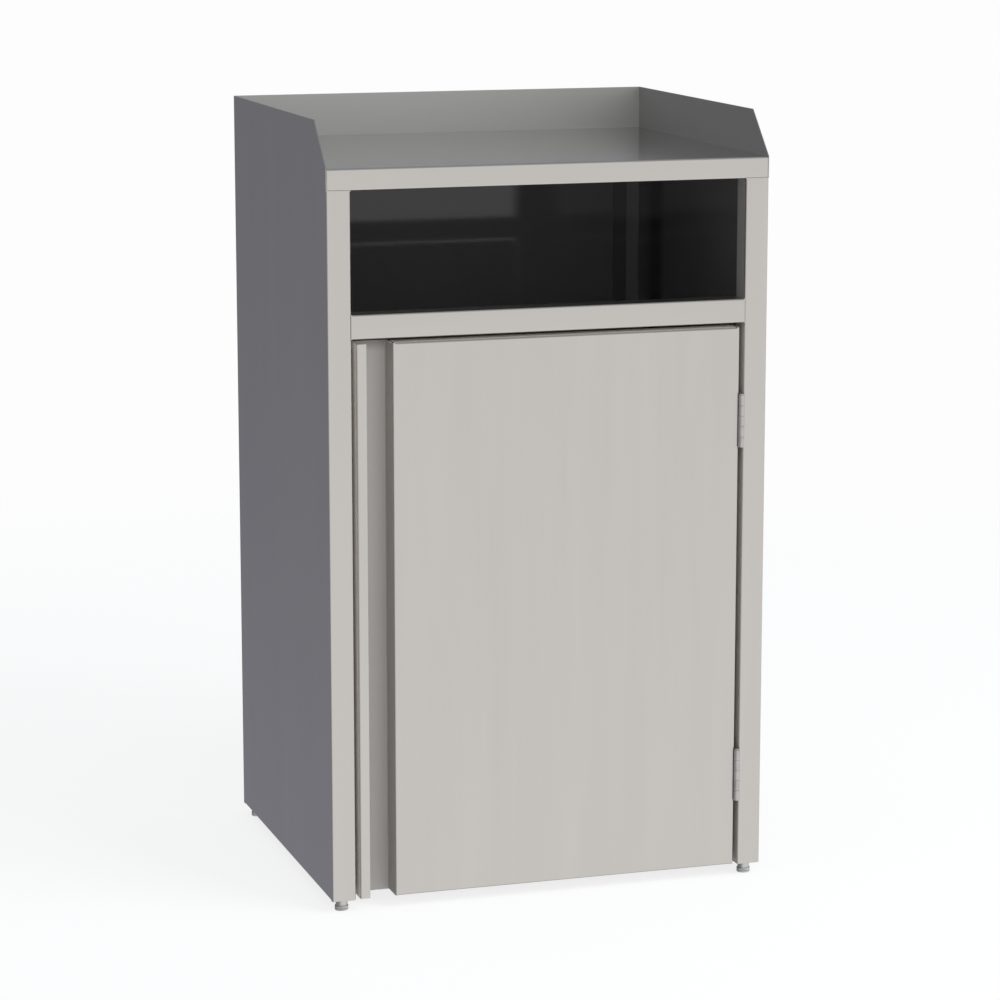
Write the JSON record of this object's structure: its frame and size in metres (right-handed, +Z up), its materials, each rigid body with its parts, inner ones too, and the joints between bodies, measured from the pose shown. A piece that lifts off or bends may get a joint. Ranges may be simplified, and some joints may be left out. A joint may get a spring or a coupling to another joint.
{
  "type": "waste station",
  "caption": "Free-standing folded stainless waste cabinet with an open front aperture, hinged door with a full-height finger pull, liner bin inside and a galleried tray top.",
  "frame": {"origin": "on the floor, under the middle of the whole box", "axes": "+X to the right as seen from the front, +Y to the back, +Z up"},
  "size_m": [0.6, 0.5058, 1.034],
  "materials": {
    "brushed_panel": "vertical satin brushing",
    "mill_sheet": "smooth mill finish",
    "hinge_steel": "plain satin steel",
    "plated_steel": "zinc plated",
    "catch_plastic": "moulded, matte",
    "bin_plastic": "moulded, fine grain",
    "buffer_rubber": "matte"
  },
  "bodies": {
    "cabinet": {"left_side_panel": "brushed_panel", "right_side_panel": "brushed_panel", "rear_panel": "brushed_panel", "tray_top": "brushed_panel", "tray_stiffener": "mill_sheet", "mid_rail": "brushed_panel", "base_pan": "mill_sheet", "catch_bracket": "hinge_steel", "catch_body": "catch_plastic", "door_buffer": "buffer_rubber", "upper_frame_leaf": "hinge_steel", "upper_hinge_pin": "hinge_steel", "lower_frame_leaf": "hinge_steel", "lower_hinge_pin": "hinge_steel", "front_left_foot_nut": "plated_steel", "front_right_foot_nut": "plated_steel", "rear_left_foot_nut": "plated_steel", "rear_right_foot_nut": "plated_steel", "waste_bin": "bin_plastic"},
    "door": {"door_panel": "brushed_panel", "door_stiffener": "mill_sheet", "strike_plate": "plated_steel", "upper_door_leaf": "hinge_steel", "lower_door_leaf": "hinge_steel"},
    "front_left_leveller": {"front_left_foot": "plated_steel"},
    "front_right_leveller": {"front_right_foot": "plated_steel"},
    "rear_left_leveller": {"rear_left_foot": "plated_steel"},
    "rear_right_leveller": {"rear_right_foot": "plated_steel"}
  },
  "joints": [
    {"name": "door_swing", "type": "hinge", "parent": "cabinet", "child": "door", "pos_m": [0.265, -0.24895, 0.3845], "axis": [0, 0, 1], "range_deg": [0, 170]},
    {"name": "front_left_level", "type": "slide", "parent": "cabinet", "child": "front_left_leveller", "axis": [0, 0, -1], "range_m": [0, 0.011]},
    {"name": "front_right_level", "type": "slide", "parent": "cabinet", "child": "front_right_leveller", "axis": [0, 0, -1], "range_m": [0, 0.011]},
    {"name": "rear_left_level", "type": "slide", "parent": "cabinet", "child": "rear_left_leveller", "axis": [0, 0, -1], "range_m": [0, 0.011]},
    {"name": "rear_right_level", "type": "slide", "parent": "cabinet", "child": "rear_right_leveller", "axis": [0, 0, -1], "range_m": [0, 0.011]}
  ]
}
